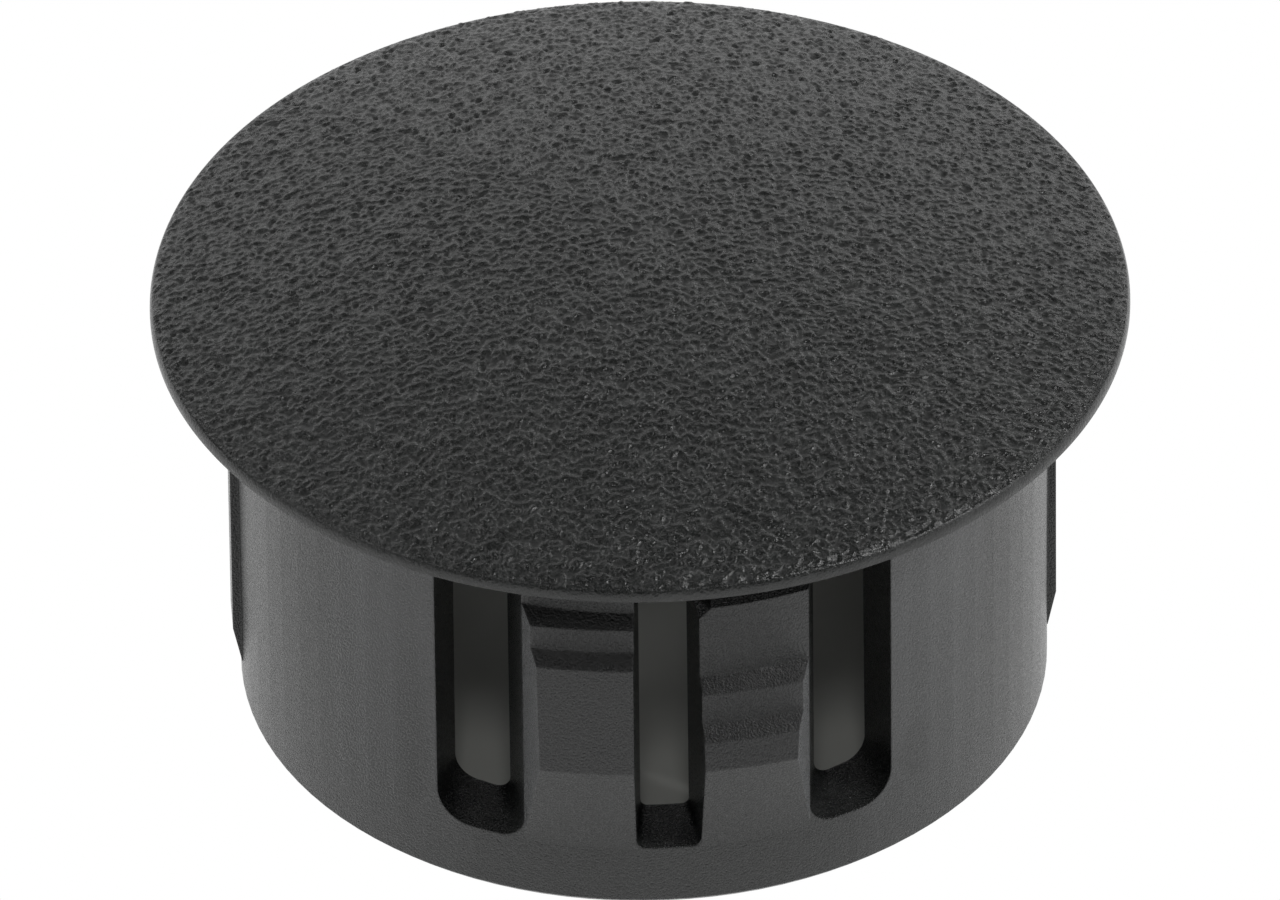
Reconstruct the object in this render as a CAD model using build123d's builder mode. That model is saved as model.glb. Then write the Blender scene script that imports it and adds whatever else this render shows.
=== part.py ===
from build123d import *
from math import hypot, radians, sqrt, tan
import os

# Dome-headed snap-in hole plug, one nylon moulding, in millimetres.
# +Z points up through the head. The origin is the centre of the skirt's open lower rim.
# Two pairs of stepped snap fingers face -Y and +Y, and two slim centring ribs face -X and +X.

# ---------------------------------------------------------------- driving dimensions
# head
head_diameter = 26.0
rim_edge_height = 0.42      # upright edge of the head, before its rounding
rim_edge_radius = 0.45      # where the dome turns down into that edge
dome_rise = 1.98            # crown above the corner of the upright edge
head_wall = 1.6             # moulded thickness of the dome

# skirt
skirt_diameter = 21.66      # under the head
skirt_height = 11.85        # from the open lower rim to the underside of the head
skirt_wall = 2.0            # under the head
skirt_draft = 0.25          # degrees, outside, narrowing downwards
core_draft = 0.5            # degrees, inside, widening downwards
skirt_rim_bevel = 0.18      # outer corner of the lower rim

# slots that free the fingers, measured across on the skirt's surface
ring_height = 1.92          # closed ring that is left under the slots
top_land = 0.2              # wall that is left over the slots, so the head's seat is whole
centre_slot_width = 1.72
finger_width = 2.92
side_slot_width = 2.25
finger_side_draft = 6.5     # degrees, each side face, so that the slides pull out
slot_wall_draft = 17.0      # degrees, the far wall of each side slot
side_slot_far_corner = 1.0      # rounding of its lower corner away from the finger
side_slot_near_corner = 0.55    # rounding of its lower corner beside the finger
centre_slot_corner = 0.25

# fingers: each is (tip, first lock, second lock), as depths below the underside of the head
high_finger_steps = (1.6, 2.4, 3.5)     # the finger on the left of a pair
low_finger_steps = (2.0, 4.65, 6.0)     # its neighbour on the right
finger_tip_inset = 0.03     # tip face inside the skirt's surface
first_ledge_depth = 0.33    # how far each ledge stands out over the face above it
second_ledge_depth = 0.33
bulge_proud = 0.75          # widest line of a finger beyond the skirt
bulge_drop = 6.85
ledge_slope = 50.0          # degrees above level, so that a ledge wedges under any sheet
finger_face_radius = 14.0   # flatter than the skirt, across the finger's face
finger_flank_draft = 20.0   # degrees, outer side of a finger where it stands out from the skirt
tip_corner = 0.24           # bevel on a low tip beside the centre slot

# centring ribs, a quarter turn away from the fingers
rib_width = 1.2
rib_proud = 0.18
rib_clear = 0.9             # bare skirt below a rib
rib_lead_in = 1.1

# ---------------------------------------------------------------- derived sizes
head_radius = head_diameter / 2
skirt_top_radius = skirt_diameter / 2
skirt_bottom_radius = skirt_top_radius - skirt_height * tan(radians(skirt_draft))
bore_top_radius = skirt_top_radius - skirt_wall
bore_bottom_radius = bore_top_radius + skirt_height * tan(radians(core_draft))

edge_top = skirt_height + rim_edge_height
crown = edge_top + dome_rise
dome_radius = (head_radius**2 + dome_rise**2) / (2 * dome_rise)
dome_centre = crown - dome_radius
ceiling_sphere = dome_radius - head_wall
ceiling_edge = dome_centre + sqrt(ceiling_sphere**2 - bore_top_radius**2)

slot_top = skirt_height - top_land
bulge_radius = skirt_top_radius + bulge_proud
past_wall = skirt_wall + bulge_proud          # reach of a cut that has to clear the wall
finger_start = centre_slot_width / 2
finger_end = finger_start + finger_width
slot_end = finger_end + side_slot_width


def skirt_y(x):
    """Y of the skirt's surface, on the -Y side, at a distance x from the middle."""
    return -sqrt(skirt_top_radius**2 - x**2)


def drafted(x, draft, y):
    """X of a drafted upright face that meets the skirt's surface at x, at another Y."""
    return x + (y - skirt_y(x)) * tan(radians(draft))


def arc_point(radius, centre_z, x):
    return (x, centre_z + sqrt(radius**2 - x**2))


# ---------------------------------------------------------------- turned form
def turned_shell():
    """Head and skirt as one turned shell, before the slots."""
    with BuildPart() as shell:
        with BuildSketch(Plane.XZ) as section:
            with BuildLine():
                Polyline(
                    (bore_top_radius, ceiling_edge),
                    (bore_bottom_radius, 0),
                    (skirt_bottom_radius, 0),
                    (skirt_top_radius, skirt_height),
                    (head_radius, skirt_height),
                    (head_radius, edge_top),
                )
                ThreePointArc(
                    (head_radius, edge_top),
                    arc_point(dome_radius, dome_centre, head_radius / 2),
                    (0, crown),
                )
                Line((0, crown), (0, crown - head_wall))
                ThreePointArc(
                    (0, crown - head_wall),
                    arc_point(ceiling_sphere, dome_centre, bore_top_radius / 2),
                    (bore_top_radius, ceiling_edge),
                )
            make_face()
            fillet(nearest(section.vertices(), head_radius, edge_top), rim_edge_radius)
            chamfer(nearest(section.vertices(), skirt_bottom_radius, 0), skirt_rim_bevel)
        revolve(axis=Axis.Z)
    return shell.part


def nearest(vertices, x, z):
    """The one vertex of the section nearest to a radius and a height."""
    return vertices.sort_by(lambda v: hypot(v.X - x, v.Y - z))[0]


# ---------------------------------------------------------------- slots
def slot_cutter(left, left_draft, left_corner, right, right_draft, right_corner):
    """Cutter of one slot on the -Y side: a round-cornered U that tapers inwards."""
    outside = -bulge_radius - past_wall
    inside = skirt_y(slot_end) + past_wall
    with BuildPart() as cutter:
        for y in (outside, inside):
            start = drafted(left, left_draft, y)
            end = drafted(right, right_draft, y)
            taper = (end - start) / (right - left)
            with BuildSketch(Plane.XZ.offset(-y)) as outline:
                with BuildLine():
                    Polyline(
                        (start, slot_top),
                        (start, ring_height),
                        (end, ring_height),
                        (end, slot_top),
                        close=True,
                    )
                make_face()
                fillet(nearest(outline.vertices(), start, ring_height), left_corner * taper)
                fillet(nearest(outline.vertices(), end, ring_height), right_corner * taper)
        loft(ruled=True)
    return cutter.part


def centre_slot():
    return slot_cutter(
        -finger_start, finger_side_draft, centre_slot_corner,
        finger_start, -finger_side_draft, centre_slot_corner,
    )


def side_slot():
    """The side slot on the right of a pair of fingers."""
    return slot_cutter(
        finger_end, finger_side_draft, side_slot_near_corner,
        slot_end, -slot_wall_draft, side_slot_far_corner,
    )


def tip_clearance(tip):
    """Opens the wall over the right-hand finger, from the centre slot to the side slot."""
    outside = -bulge_radius - past_wall
    inside = skirt_y(slot_end) + past_wall
    with BuildPart() as cutter:
        with BuildSketch(Plane.XY.offset(skirt_height - tip)):
            with BuildLine():
                Polyline(
                    (0, outside),
                    (drafted(finger_end, finger_side_draft, outside) + side_slot_width / 2, outside),
                    (drafted(finger_end, finger_side_draft, inside) + side_slot_width / 4, inside),
                    (0, inside),
                    close=True,
                )
            make_face()
        extrude(amount=tip - top_land)
    return cutter.part


# ---------------------------------------------------------------- fingers
def finger_levels(steps):
    """Height, reach from the axis and face radius of a finger at each of its bends, going up."""
    tip, first, second = (skirt_height - depth for depth in steps)
    tip_face = skirt_top_radius - finger_tip_inset
    riser = tip_face + first_ledge_depth
    main_face = riser + second_ledge_depth
    foot = skirt_radius_at(ring_height)
    slope = tan(radians(ledge_slope))
    return [
        (ring_height, foot, foot),
        (skirt_height - bulge_drop, bulge_radius, finger_face_radius),
        (second, main_face, finger_face_radius),
        (second + second_ledge_depth * slope, riser, finger_face_radius),
        (first, riser, finger_face_radius),
        (first + first_ledge_depth * slope, tip_face, tip_face),
        (tip, tip_face, tip_face),
    ]


def finger_pad(steps):
    """The part of the right-hand finger that stands out from the skirt, with its two ledges."""
    levels = finger_levels(steps)
    root = -skirt_top_radius + skirt_wall / 2
    outside = -bulge_radius - past_wall
    surface = skirt_y(finger_end)
    with BuildPart() as pad:
        for height, reach, face_radius in levels:
            axis_y = face_radius - reach
            with BuildSketch(Plane.XY.offset(height)):
                with BuildLine():
                    ThreePointArc(
                        (0, -reach),
                        (slot_end / 2, axis_y - sqrt(face_radius**2 - slot_end**2 / 4)),
                        (slot_end, axis_y - sqrt(face_radius**2 - slot_end**2)),
                    )
                    Polyline(
                        (slot_end, axis_y - sqrt(face_radius**2 - slot_end**2)),
                        (slot_end, root / 2),
                        (0, root / 2),
                        (0, -reach),
                    )
                make_face()
        loft(ruled=True)
        with BuildSketch(Plane.XY.offset(ring_height)):
            with BuildLine():
                Polyline(
                    (drafted(finger_start, -finger_side_draft, outside), outside),
                    (drafted(finger_end, finger_flank_draft, outside), outside),
                    (finger_end, surface),
                    (drafted(finger_end, finger_side_draft, root), root),
                    (drafted(finger_start, -finger_side_draft, root), root),
                    close=True,
                )
            make_face()
        extrude(amount=levels[-1][0] - ring_height, mode=Mode.INTERSECT)
    return pad.part


def skirt_radius_at(height):
    share = height / skirt_height
    return skirt_bottom_radius + (skirt_top_radius - skirt_bottom_radius) * share


def tip_bevel(tip):
    """Takes the top corner off the right-hand finger's tip, beside the centre slot."""
    edge = drafted(finger_start, -finger_side_draft, -bulge_radius)
    height = skirt_height - tip
    with BuildPart() as cutter:
        with BuildSketch(Plane.XZ.offset(bulge_radius)):
            with BuildLine():
                Polyline(
                    (edge - tip_corner, height + tip_corner),
                    (edge + 2 * tip_corner, height + tip_corner),
                    (edge - tip_corner, height - 2 * tip_corner),
                    close=True,
                )
            make_face()
        extrude(amount=-past_wall)
    return cutter.part


# ---------------------------------------------------------------- ribs
def centring_rib():
    """The slim rib on the +X side, with a lead-in at its lower end."""
    face = skirt_top_radius + rib_proud
    root = skirt_top_radius - skirt_wall / 2
    with BuildPart() as rib:
        with BuildSketch(Plane.XZ):
            with BuildLine():
                Polyline(
                    (root, rib_clear),
                    (skirt_radius_at(rib_clear), rib_clear),
                    (face, rib_clear + rib_lead_in),
                    (face, skirt_height),
                    (root, skirt_height),
                    close=True,
                )
            make_face()
        extrude(amount=rib_width / 2, both=True)
    return rib.part


# ---------------------------------------------------------------- the moulding
shell = turned_shell()
rib = centring_rib()
low_finger = finger_pad(low_finger_steps)
high_finger = finger_pad(high_finger_steps).mirror(Plane.YZ)
middle_slot = centre_slot()
right_slot = side_slot()
left_slot = right_slot.mirror(Plane.YZ)
over_low_tip = tip_clearance(low_finger_steps[0])
over_high_tip = tip_clearance(high_finger_steps[0]).mirror(Plane.YZ)
low_tip_bevel = tip_bevel(low_finger_steps[0])

with BuildPart() as hole_plug:
    add(shell)
    with PolarLocations(0, 2):
        add([rib, low_finger, high_finger])
        add([middle_slot, right_slot, left_slot], mode=Mode.SUBTRACT)
        add([over_low_tip, over_high_tip, low_tip_bevel], mode=Mode.SUBTRACT)

hole_plug.part.label = "hole_plug"

os.makedirs("parts", exist_ok=True)
export_step(hole_plug.part, "parts/hole_plug.step")
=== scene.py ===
"""Looks of the dome-headed hole plug: grained head, satin skirt and snap fingers, on a white table."""

from math import asin, cos, hypot, pi, radians, sin, sqrt

import bmesh
import bpy
from mathutils import Matrix, Vector, noise


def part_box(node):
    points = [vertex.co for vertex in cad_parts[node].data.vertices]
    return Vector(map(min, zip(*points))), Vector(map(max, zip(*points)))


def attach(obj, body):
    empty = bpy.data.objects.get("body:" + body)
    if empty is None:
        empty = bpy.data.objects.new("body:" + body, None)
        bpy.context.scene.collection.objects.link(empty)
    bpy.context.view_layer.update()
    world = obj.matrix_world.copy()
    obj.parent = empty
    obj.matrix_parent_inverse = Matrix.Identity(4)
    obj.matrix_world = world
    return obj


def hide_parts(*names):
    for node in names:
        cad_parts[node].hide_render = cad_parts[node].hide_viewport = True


MM = 0.001
DEPTH_NAME = "grain_depth"

# ------------------------------------------------------------------ sizes, in millimetres
HEAD_UNDERSIDE = 11.85      # height of the head's flat underside
RIM_CORNER_DROP = 1.98      # crown above the corner that the rim's rounding takes off
RIM_RADIUS = 0.45           # rounding between the dome and the upright rim
QUARTER_GRID = 308          # quads along each side of one quarter of the head's skin
SMALLEST_STEP = 0.002       # what lies higher than this over the underside can be the head's skin
LEAST_UPWARD = 0.02         # upward share of the normal of every face of the dome
RIM_ZONE = 0.9              # share of the head's radius past which the upright rim lies

GRAIN_DEPTH = 0.106         # from the tops of the moulded grain to the floors of its pits
GRAIN_LEVEL = 0.62          # height of the plain surface between beads and pits, as a share of the depth
PEBBLE_SIZE = 0.24          # low pebbles, with beads and round pits among them
PEBBLE_HEIGHT = 0.34        # share of the grain's depth, as are FINE_HEIGHT, PIT_DEPTH and BEAD_HEIGHT
FINE_SIZE = 0.14
FINE_HEIGHT = 0.46
FINE_SHIFT = (7.3, 2.1, 5.9)        # keeps the fine pebbles out of step with the others
SPOT_SPACING = 0.44
SPOT_RADIUS = 0.34          # of the widest pit or bead, as a share of the spacing
PIT_SHARE = 0.60            # share of the spots that are pits; the others are beads
PIT_DEPTH = 0.80
BEAD_HEIGHT = 0.30
SPOT_SMALLEST = 0.6         # the smallest spot, as a share of the widest
SPOT_CORE = 0.3             # the middle of a spot that is flat, as a share of its radius
SPOT_SHUFFLE = 37.7         # spreads the places of the spots before each draws its chance
GRAIN_FADE_START = 44.0     # degrees of the surface's lean: the grain stops where the rim rounds over
GRAIN_FADE_END = 56.0

FINGER_REACH = 10.83        # the skirt's surface: what lies further out is a finger or a rib
BULGE_HEIGHT = 5.0          # widest line of the fingers
RIB_SIDE = 9.0              # the fingers end before this distance to either side, the ribs start past it
EDGE_ROUNDING = 0.09        # every moulded edge of the skirt and fingers
LEDGE_ROUNDING = 0.20       # how softly the painted shade band of a ledge ends
LEDGE_LEANS = (0.20, 0.52)  # upward share of the normal where the painted shade of a ledge starts and is full
FLANK_LEANS = (2.2, 2.9)    # X of the place by X of the normal, where the painted light on a flank starts and is full

# ------------------------------------------------------------------ nylon
NYLON_IOR = 1.53
NYLON = (0.0125, 0.0135, 0.0130, 1.0)
NYLON_WORN = (0.027, 0.029, 0.028, 1.0)
NYLON_DARKER_FACE = (0.0065, 0.0070, 0.0072, 1.0)         # darker colour on the fingers' faces, from their widest line up to the head
NYLON_PAINTED_LEDGE_SHADE = (0.0015, 0.0016, 0.0015, 1.0)       # painted shade on the ledges, under the head's overhang
NYLON_PAINTED_FLANK_LIGHT = (0.105, 0.108, 0.110, 1.0)           # painted light on the outer flanks of the fingers
HEAD_ROUGHNESS = (0.17, 0.36)       # of the grain's tops, shiniest and dullest
PIT_ROUGHNESS = 0.75
SKIRT_ROUGHNESS = (0.16, 0.40)
LEDGE_ROUGHNESS = 0.36
SHINIEST = 0.2                      # where a pit or a ledge starts to turn dull
TOOTH_SIZE = 0.09           # the finest moulded roughness of the head, in millimetres
TOOTH_DEPTH = 0.026
GRIT_SIZE = 0.06            # change of gloss over the head
MOTTLE_SIZE = 0.70          # change of tone over the head
SATIN_SIZE = 0.06           # the skirt's fine satin
SATIN_DEPTH = 0.046
CLOUD_SIZE = 1.6            # change of tone over the skirt
BLOTCH_SIZE = 0.9           # uneven painted shade on the ledges

# ------------------------------------------------------------------ camera
CAMERA_AZIMUTH = -3.2
CAMERA_ELEVATION = 37.187
CAMERA_ROLL = 0.665
CAMERA_DISTANCE = 0.8
CAMERA_AIM_DROP = 3.915     # the picture's centre below the centre of the head's underside
SENSOR_WIDTH = 36.0
VIEW_WIDTH = 33.94          # across the picture, at the head

# ------------------------------------------------------------------ table, room and lights, in metres
TABLE_RADIUS = 3.0
TABLE_HEIGHT = -0.00003
INSIDE_RADIUS = 0.0095      # the part of the table that shows only through the slots
INSIDE_HEIGHT = -0.00001
TABLE_TONE = (0.86, 0.86, 0.86, 1.0)
INSIDE_TONE = (0.72, 0.73, 0.69, 1.0)
LEAK_TONE = (1.0, 1.0, 0.92, 1.0)       # painted light: a faint glow on the inside of the table, for light that reaches it through thin edges
LEAK_BRIGHTNESS = 0.007
HORIZON_HEIGHT = 0.10       # sine of the height at which the room turns dim
HORIZON_BRIGHTNESS = 1.0
ROOM_BRIGHTNESS = 0.015
LIGHT_DISTANCE = 1.0
LIGHTS = (                  # name, degrees left from behind, degrees of rise, size, brightness
    ("back_light", 0, 30, (1.9, 0.9), 0.66),
    ("low_back_light", 0, 10, (1.9, 0.22), 0.46),
    ("top_light", 10, 66, (0.6, 0.5), 0.22),
    ("back_left_spark", 32, 32, (0.2, 0.12), 4.0),
    ("back_right_spark", -32, 33, (0.2, 0.12), 6.0),
    ("left_light", 105, 30, (0.8, 0.6), 0.55),
    ("left_high", 95, 52, (0.5, 0.4), 1.8),
    ("right_light", -100, 30, (0.8, 0.6), 1.9),
    ("key_light", -117, 50, (0.15, 0.15), 34.0),
    ("front_light", 177, 50, (0.12, 0.13), 15.0),
)


# ------------------------------------------------------------------ nodes
class Shader:
    """A material's node tree with short helpers."""

    def __init__(self, name):
        self.material = bpy.data.materials.new(name)
        self.material.use_nodes = True
        self.tree = self.material.node_tree
        self.tree.nodes.clear()
        self.output = self.tree.nodes.new("ShaderNodeOutputMaterial")

    def node(self, kind, **settings):
        made = self.tree.nodes.new(kind)
        for name, value in settings.items():
            setattr(made, name, value)
        return made

    def link(self, source, target):
        self.tree.links.new(source, target)

    def feed(self, target, value):
        """Sets a socket to a value, or links another socket to it."""
        if isinstance(value, bpy.types.NodeSocket):
            self.link(value, target)
        else:
            target.default_value = value

    def math(self, operation, a, b=0.0, clamp=False):
        made = self.node("ShaderNodeMath", operation=operation, use_clamp=clamp)
        self.feed(made.inputs[0], a)
        self.feed(made.inputs[1], b)
        return made.outputs[0]

    def position(self):
        """The place on the object, in millimetres."""
        coordinates = self.node("ShaderNodeTexCoord")
        scaled = self.node("ShaderNodeVectorMath", operation="SCALE")
        self.link(coordinates.outputs["Object"], scaled.inputs[0])
        scaled.inputs["Scale"].default_value = 1 / MM
        return scaled.outputs[0]

    def noise(self, place, size, detail=2.0, roughness=0.5):
        made = self.node("ShaderNodeTexNoise")
        self.link(place, made.inputs["Vector"])
        made.inputs["Scale"].default_value = 1 / size
        made.inputs["Detail"].default_value = detail
        made.inputs["Roughness"].default_value = roughness
        return made.outputs["Fac"]

    def remap(self, value, low, high, out_low, out_high, smooth=False):
        made = self.node("ShaderNodeMapRange", clamp=True)
        if smooth:
            made.interpolation_type = "SMOOTHSTEP"
        self.feed(made.inputs["Value"], value)
        made.inputs["From Min"].default_value = low
        made.inputs["From Max"].default_value = high
        made.inputs["To Min"].default_value = out_low
        made.inputs["To Max"].default_value = out_high
        return made.outputs["Result"]

    def mix(self, share, a, b):
        made = self.node("ShaderNodeMix", data_type="RGBA")
        self.feed(made.inputs[0], share)
        self.feed(made.inputs[6], a)
        self.feed(made.inputs[7], b)
        return made.outputs[2]

    def bump(self, height, distance, normal=None):
        made = self.node("ShaderNodeBump")
        self.feed(made.inputs["Height"], height)
        made.inputs["Distance"].default_value = distance * MM
        made.inputs["Strength"].default_value = 1.0
        if normal is not None:
            self.link(normal, made.inputs["Normal"])
        return made.outputs["Normal"]


def nylon_head():
    """Black nylon with a fine tooth: its tops shine, its pits are dull, and painted shade darkens them."""
    s = Shader("nylon_grained")
    place = s.position()
    depth = s.node("ShaderNodeAttribute", attribute_name=DEPTH_NAME).outputs["Fac"]
    tooth = s.noise(place, TOOTH_SIZE, detail=2.0, roughness=0.68)
    grit = s.noise(place, GRIT_SIZE, detail=1.0)
    mottled = s.noise(place, MOTTLE_SIZE, detail=3.0, roughness=0.6)
    surface = s.node("ShaderNodeBsdfPrincipled")
    dull = s.remap(depth, 0.50, 0.95, 0.0, 1.0)
    # painted shade in the pits: the paler random mottle is taken out where the grain lies deep
    mottle_without_pit_shade = s.math("SUBTRACT", s.remap(mottled, 0.42, 0.64, 0.0, 0.8), dull, clamp=True)
    s.feed(surface.inputs["Base Color"], s.mix(mottle_without_pit_shade, NYLON, NYLON_WORN))
    top_roughness = s.remap(grit, 0.35, 0.65, *HEAD_ROUGHNESS)
    pit_roughness = s.remap(dull, 0.0, 0.6, SHINIEST, PIT_ROUGHNESS)
    s.feed(surface.inputs["Roughness"], s.math("MAXIMUM", top_roughness, pit_roughness))
    surface.inputs["IOR"].default_value = NYLON_IOR
    s.feed(surface.inputs["Normal"], s.bump(tooth, TOOTH_DEPTH))
    s.link(surface.outputs[0], s.output.inputs["Surface"])
    return s.material


def finger_share(s, place):
    """How much a place belongs to a snap finger, and to its face above the widest line."""
    parts = s.node("ShaderNodeSeparateXYZ")
    s.link(place, parts.inputs[0])
    flat = s.node("ShaderNodeVectorMath", operation="MULTIPLY")
    s.link(place, flat.inputs[0])
    flat.inputs[1].default_value = (1, 1, 0)
    reach = s.node("ShaderNodeVectorMath", operation="LENGTH")
    s.link(flat.outputs[0], reach.inputs[0])
    proud = s.remap(reach.outputs["Value"], FINGER_REACH - 0.08, FINGER_REACH + 0.04, 0, 1, smooth=True)
    above = s.remap(parts.outputs["Z"], BULGE_HEIGHT - 0.06, BULGE_HEIGHT + 0.06, 0, 1, smooth=True)
    below = s.remap(parts.outputs["Z"], HEAD_UNDERSIDE - 0.25, HEAD_UNDERSIDE - 0.15, 1, 0)
    finger = s.math("MULTIPLY", proud, below)
    return finger, s.math("MULTIPLY", finger, above)


def ledge_share(s, place, finger, facing):
    """How much a place belongs to a locking ledge: the steep parts of a finger that look upwards, where
    painted shade falls in uneven blotches.
    """
    lean = s.node("ShaderNodeSeparateXYZ")
    s.link(facing, lean.inputs[0])
    upward = s.remap(lean.outputs["Z"], *LEDGE_LEANS, 0, 1, smooth=True)
    blotch = s.remap(s.noise(place, BLOTCH_SIZE, detail=4.0, roughness=0.75), 0.36, 0.56, 0.30, 1.0)
    return s.math("MULTIPLY", s.math("MULTIPLY", upward, finger), blotch)


def flank_share(s, place, finger):
    """How much a place belongs to a finger's outer flank, which gets painted light."""
    across = s.node("ShaderNodeSeparateXYZ")
    s.link(place, across.inputs[0])
    geometry = s.node("ShaderNodeNewGeometry")
    facing = s.node("ShaderNodeSeparateXYZ")
    s.link(geometry.outputs["True Normal"], facing.inputs[0])
    outward = s.math("MULTIPLY", across.outputs["X"], facing.outputs["X"])
    not_rib = s.remap(s.math("ABSOLUTE", across.outputs["X"]), RIB_SIDE - 1, RIB_SIDE, 1, 0)
    return s.math("MULTIPLY", s.remap(outward, *FLANK_LEANS, 0, 1), s.math("MULTIPLY", finger, not_rib))


def nylon_body():
    """Black nylon with a fine satin, as the skirt and its fingers leave the mould."""
    s = Shader("nylon_satin")
    place = s.position()
    satin = s.noise(place, SATIN_SIZE, detail=2.0, roughness=0.6)
    cloud = s.noise(place, CLOUD_SIZE, detail=4.0)
    rounded = s.node("ShaderNodeBevel", samples=6)
    rounded.inputs["Radius"].default_value = EDGE_ROUNDING * MM
    softened = s.node("ShaderNodeBevel", samples=8)
    softened.inputs["Radius"].default_value = LEDGE_ROUNDING * MM
    finger, face = finger_share(s, place)
    ledge = ledge_share(s, place, face, softened.outputs[0])
    flank = flank_share(s, place, finger)
    surface = s.node("ShaderNodeBsdfPrincipled")
    skirt_colour = s.mix(s.remap(cloud, 0.35, 0.7, 0.0, 0.35), NYLON, NYLON_WORN)
    # painted shade darkens the ledges, in uneven blotches
    face_colour = s.mix(ledge, s.mix(face, skirt_colour, NYLON_DARKER_FACE), NYLON_PAINTED_LEDGE_SHADE)
    # painted light on the fingers' outer flanks
    s.feed(surface.inputs["Base Color"], s.mix(flank, face_colour, NYLON_PAINTED_FLANK_LIGHT))
    shine = s.remap(satin, 0.3, 0.7, *SKIRT_ROUGHNESS)
    ledge_roughness = s.remap(ledge, 0.0, 1.0, SHINIEST, LEDGE_ROUGHNESS)
    s.feed(surface.inputs["Roughness"], s.math("MAXIMUM", shine, ledge_roughness))
    surface.inputs["IOR"].default_value = NYLON_IOR
    s.feed(surface.inputs["Normal"], s.bump(satin, SATIN_DEPTH, rounded.outputs[0]))
    s.link(surface.outputs[0], s.output.inputs["Surface"])
    return s.material


# ------------------------------------------------------------------ head
def smoothstep(low, high, value):
    share = min(1.0, max(0.0, (value - low) / (high - low)))
    return share * share * (3 - 2 * share)


def spot(place):
    """Height of the round pits, below 0, and of the beads, above 0."""
    distances, points = noise.voronoi(place / SPOT_SPACING)
    chance = 0.5 + 0.5 * noise.cell(points[0] * SPOT_SHUFFLE)
    radius = SPOT_RADIUS * (SPOT_SMALLEST + (1 - SPOT_SMALLEST) * chance)
    swell = 1 - smoothstep(SPOT_CORE * radius, radius, distances[0])
    return -PIT_DEPTH * swell if chance < PIT_SHARE else BEAD_HEIGHT * swell


def grain(place):
    """How deep the moulded grain lies at a place, from 0 at its tops to 1."""
    pebble = noise.noise(place / PEBBLE_SIZE)
    fine = noise.noise(place / FINE_SIZE + Vector(FINE_SHIFT))
    height = GRAIN_LEVEL + PEBBLE_HEIGHT * pebble + FINE_HEIGHT * fine + spot(place)
    return 1 - min(1.0, max(0.0, height))


class HeadProfile:
    """The head's outer section, followed from the crown down to the lower edge of the rim."""

    def __init__(self, radius, crown):
        self.radius = radius
        self.dome_radius = (radius**2 + RIM_CORNER_DROP**2) / (2 * RIM_CORNER_DROP)
        self.dome_centre = crown - self.dome_radius
        self.rim_centre_radius = radius - RIM_RADIUS
        reach = self.dome_radius - RIM_RADIUS
        self.rim_centre_height = self.dome_centre + sqrt(reach**2 - self.rim_centre_radius**2)
        self.dome_angle = asin(self.rim_centre_radius / reach)
        self.dome_length = self.dome_radius * self.dome_angle
        self.rim_length = RIM_RADIUS * (pi / 2 - self.dome_angle)
        self.edge_length = self.rim_centre_height - HEAD_UNDERSIDE
        self.length = self.dome_length + self.rim_length + self.edge_length

    def at(self, share):
        """Radius, height and lean of the surface at a share of the way down."""
        way = share * self.length
        if way < self.dome_length:
            lean = way / self.dome_radius
            return self.dome_radius * sin(lean), self.dome_centre + self.dome_radius * cos(lean), lean
        way -= self.dome_length
        if way < self.rim_length:
            lean = self.dome_angle + way / RIM_RADIUS
            across = self.rim_centre_radius + RIM_RADIUS * sin(lean)
            return across, self.rim_centre_height + RIM_RADIUS * cos(lean), lean
        way = min(way - self.rim_length, self.edge_length)
        return self.radius, self.rim_centre_height - way, pi / 2


def disc_place(u, v):
    """Polar place on a unit disc of a point of the square from -1 to 1, evenly spread."""
    if u == 0 and v == 0:
        return 0.0, 0.0
    if abs(u) > abs(v):
        share, turn = u, (pi / 4) * (v / u)
    else:
        share, turn = v, pi / 2 - (pi / 4) * (u / v)
    return share, turn


def skin_place(profile, u, v):
    """A place on the head's skin for a point of the square from -1 to 1, and the grain's depth there."""
    share, turn = disc_place(u, v)
    if share < 0:
        share, turn = -share, turn + pi
    across, height, lean = profile.at(share)
    place = Vector((across * cos(turn), across * sin(turn), height))
    fade = 1 - smoothstep(radians(GRAIN_FADE_START), radians(GRAIN_FADE_END), lean)
    if fade == 0:
        return place * MM, 0.0
    outward = Vector((sin(lean) * cos(turn), sin(lean) * sin(turn), cos(lean)))
    depth = fade * grain(place)
    return (place - outward * GRAIN_DEPTH * depth) * MM, depth


def head_quarter(name, profile, u_start, v_start):
    """One quarter of the head's outer skin with its grain as real relief, inside the moulded size."""
    side = QUARTER_GRID + 1
    steps = [n / QUARTER_GRID for n in range(side)]
    points = [skin_place(profile, u_start + u, v_start + v) for u in steps for v in steps]
    corners = [i * side + j for i in range(QUARTER_GRID) for j in range(QUARTER_GRID)]
    faces = [(c, c + side, c + side + 1, c + 1) for c in corners]
    mesh = bpy.data.meshes.new(name)
    mesh.from_pydata([place for place, _ in points], [], faces)
    depths = mesh.attributes.new(DEPTH_NAME, "FLOAT", "POINT")
    depths.data.foreach_set("value", [depth for _, depth in points])
    mesh.shade_smooth()
    skin = bpy.data.objects.new(name, mesh)
    bpy.context.scene.collection.objects.link(skin)
    return skin


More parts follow.
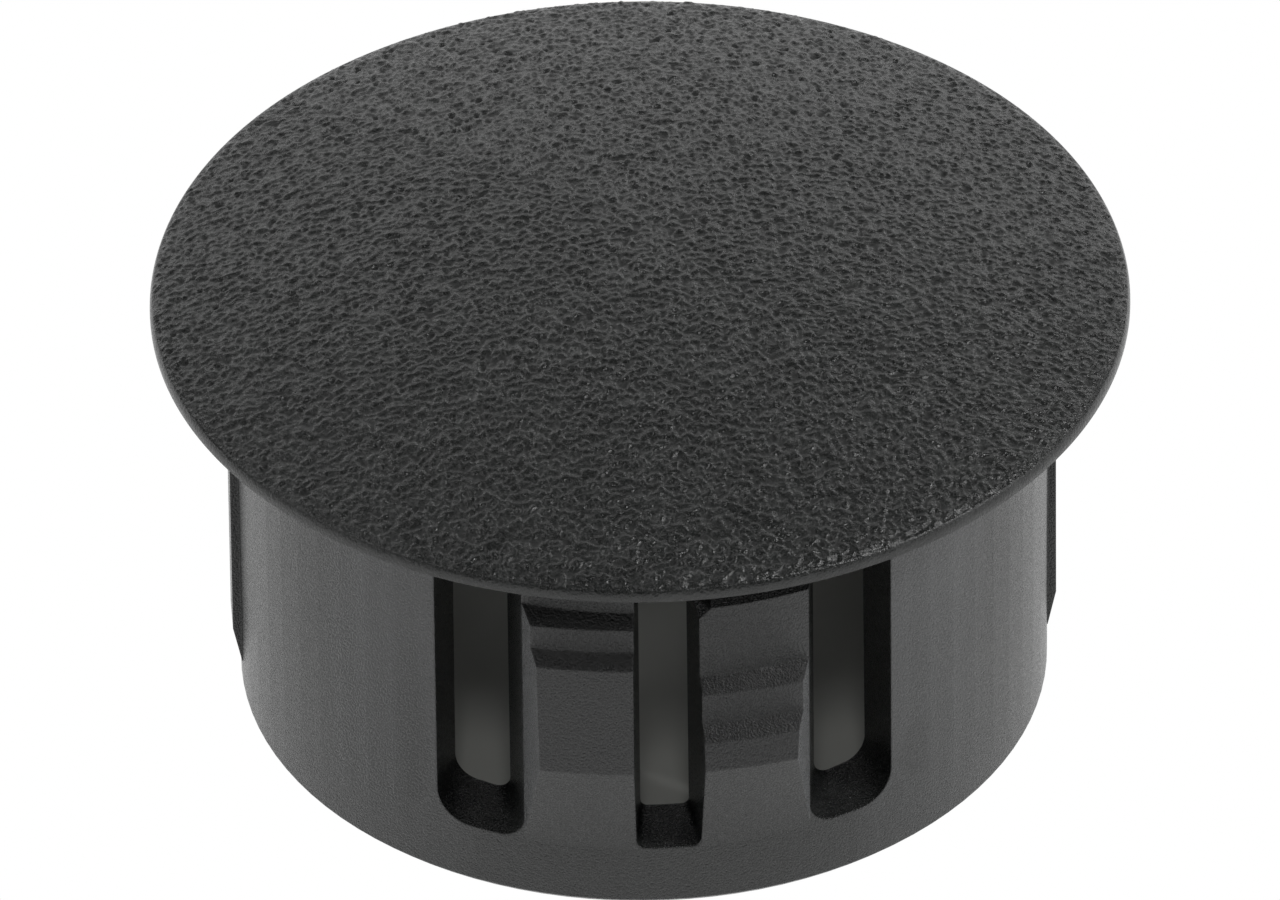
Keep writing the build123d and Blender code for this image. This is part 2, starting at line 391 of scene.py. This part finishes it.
# ------------------------------------------------------------------ skirt and fingers
def body_shell(node, radius):
    """The moulding without the head's outer skin, shaded smooth within each of its faces."""
    mesh = node.data.copy()
    mesh.name = "plug_body"
    shape = bmesh.new()
    shape.from_mesh(mesh)
    bmesh.ops.delete(shape, geom=[f for f in shape.faces if on_head_skin(f, radius)], context="FACES")
    for face in shape.faces:
        face.smooth = True
    shape.to_mesh(mesh)
    shape.free()
    body = bpy.data.objects.new("plug_body", mesh)
    bpy.context.scene.collection.objects.link(body)
    return body


def on_head_skin(face, radius):
    """Whether a face belongs to the head's outer skin: the dome, its rounding or the upright rim."""
    middle = face.calc_center_median()
    if middle.z < (HEAD_UNDERSIDE + SMALLEST_STEP) * MM:
        return False
    return face.normal.z > LEAST_UPWARD or hypot(middle.x, middle.y) > RIM_ZONE * radius * MM


# ------------------------------------------------------------------ stage
def flat_disc(name, radius, height, material):
    shape = bmesh.new()
    bmesh.ops.create_circle(shape, cap_ends=True, radius=radius, segments=96)
    bmesh.ops.translate(shape, verts=shape.verts, vec=(0, 0, height))
    mesh = bpy.data.meshes.new(name)
    shape.to_mesh(mesh)
    shape.free()
    mesh.materials.append(material)
    disc = bpy.data.objects.new(name, mesh)
    bpy.context.scene.collection.objects.link(disc)


def table_material():
    """White to the camera and to shiny surfaces, and a pale matt surface to everything else."""
    s = Shader("table_white")
    path = s.node("ShaderNodeLightPath")
    seen = s.math("MAXIMUM", path.outputs["Is Camera Ray"], path.outputs["Is Glossy Ray"])
    glow = s.node("ShaderNodeEmission")
    glow.inputs["Strength"].default_value = 1.0
    matt = s.node("ShaderNodeBsdfDiffuse")
    matt.inputs["Color"].default_value = TABLE_TONE
    both = s.node("ShaderNodeMixShader")
    s.link(seen, both.inputs[0])
    s.link(matt.outputs[0], both.inputs[1])
    s.link(glow.outputs[0], both.inputs[2])
    s.link(both.outputs[0], s.output.inputs["Surface"])
    return s.material


def shaded_material():
    """The part of the table that the plug covers, seen only through its slots."""
    s = Shader("table_inside")
    matt = s.node("ShaderNodeBsdfDiffuse")
    matt.inputs["Color"].default_value = INSIDE_TONE
    # painted light: the covered part of the table glows faintly
    leak = s.node("ShaderNodeEmission")
    leak.inputs["Color"].default_value = LEAK_TONE
    leak.inputs["Strength"].default_value = LEAK_BRIGHTNESS
    both = s.node("ShaderNodeAddShader")
    s.link(matt.outputs[0], both.inputs[0])
    s.link(leak.outputs[0], both.inputs[1])
    s.link(both.outputs[0], s.output.inputs["Surface"])
    return s.material


def soft_light(name, turn, rise, size, brightness):
    """A soft box turned so many degrees left from behind the plug, and raised above the table."""
    turn, rise = radians(turn), radians(rise)
    away = Vector((-sin(turn) * cos(rise), cos(turn) * cos(rise), sin(rise)))
    lamp = bpy.data.lights.new(name, "AREA")
    lamp.shape = "RECTANGLE"
    lamp.size, lamp.size_y = size
    lamp.energy = brightness * pi * size[0] * size[1]
    light = bpy.data.objects.new(name, lamp)
    bpy.context.scene.collection.objects.link(light)
    light.location = away * LIGHT_DISTANCE
    light.rotation_mode = "QUATERNION"
    light.rotation_quaternion = away.to_track_quat("Z", "Y")


def surroundings():
    """The soft room: dim overhead, bright where it meets the table."""
    world = bpy.data.worlds.new("studio")
    bpy.context.scene.world = world
    world.use_nodes = True
    nodes, links = world.node_tree.nodes, world.node_tree.links
    coordinates = nodes.new("ShaderNodeTexCoord")
    parts = nodes.new("ShaderNodeSeparateXYZ")
    nodes["Background"].inputs["Color"].default_value = (1.0, 1.0, 1.0, 1.0)
    band = nodes.new("ShaderNodeMapRange")
    band.interpolation_type = "SMOOTHSTEP"
    band.inputs["From Min"].default_value = 0.0
    band.inputs["From Max"].default_value = HORIZON_HEIGHT
    band.inputs["To Min"].default_value = HORIZON_BRIGHTNESS
    band.inputs["To Max"].default_value = ROOM_BRIGHTNESS
    links.new(coordinates.outputs["Generated"], parts.inputs[0])
    links.new(parts.outputs["Z"], band.inputs["Value"])
    links.new(band.outputs["Result"], nodes["Background"].inputs["Strength"])


def place_camera():
    """The camera looks down at the near fingers, with the frame close round the plug."""
    a, e, r = radians(CAMERA_AZIMUTH), radians(CAMERA_ELEVATION), radians(CAMERA_ROLL)
    back = Vector((sin(a) * cos(e), -cos(a) * cos(e), sin(e)))
    right = Vector((cos(a), sin(a), 0))
    up = back.cross(right)
    rolled_up = up * cos(r) + right * sin(r)
    middle = Vector((0, 0, HEAD_UNDERSIDE * MM))
    target = middle - rolled_up * CAMERA_AIM_DROP * MM
    place = middle + back * CAMERA_DISTANCE
    look = (place - target).normalized()
    side = rolled_up.cross(look).normalized()
    over = look.cross(side)
    lens = bpy.data.cameras.new("camera")
    lens.sensor_width = SENSOR_WIDTH
    lens.lens = SENSOR_WIDTH * CAMERA_DISTANCE / (VIEW_WIDTH * MM)
    lens.clip_start, lens.clip_end = 0.05, 20
    camera = bpy.data.objects.new("camera", lens)
    bpy.context.scene.collection.objects.link(camera)
    turn = Matrix((side, over, look)).transposed().to_4x4()
    camera.matrix_world = Matrix.Translation(place) @ turn
    bpy.context.scene.camera = camera


def corners(box):
    return [list(corner) for corner in box]


# ------------------------------------------------------------------ scene
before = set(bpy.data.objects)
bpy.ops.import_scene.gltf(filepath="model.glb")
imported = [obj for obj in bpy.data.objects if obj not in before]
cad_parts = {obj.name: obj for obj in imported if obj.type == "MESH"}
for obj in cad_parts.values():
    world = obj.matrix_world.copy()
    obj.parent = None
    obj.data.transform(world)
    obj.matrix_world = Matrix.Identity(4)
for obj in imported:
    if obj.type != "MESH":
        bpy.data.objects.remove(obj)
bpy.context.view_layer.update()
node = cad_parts["hole_plug"]
low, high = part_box("hole_plug")

bpy.context.scene.view_settings.view_transform = "Standard"

profile = HeadProfile((high.x - low.x) / 2 / MM, high.z / MM)
body = body_shell(node, profile.radius)
body.data.materials.clear()
body.data.materials.append(nylon_body())
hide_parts("hole_plug")
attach(body, "root")

grained = nylon_head()
for number, (u_start, v_start) in enumerate(((-1, -1), (0, -1), (-1, 0), (0, 0)), 1):
    skin = head_quarter(f"head_skin_{number}", profile, u_start, v_start)
    skin.data.materials.append(grained)
    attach(skin, "root")

flat_disc("table", TABLE_RADIUS, TABLE_HEIGHT, table_material())
flat_disc("table_inside", INSIDE_RADIUS, INSIDE_HEIGHT, shaded_material())
surroundings()
for light in LIGHTS:
    soft_light(*light)
place_camera()
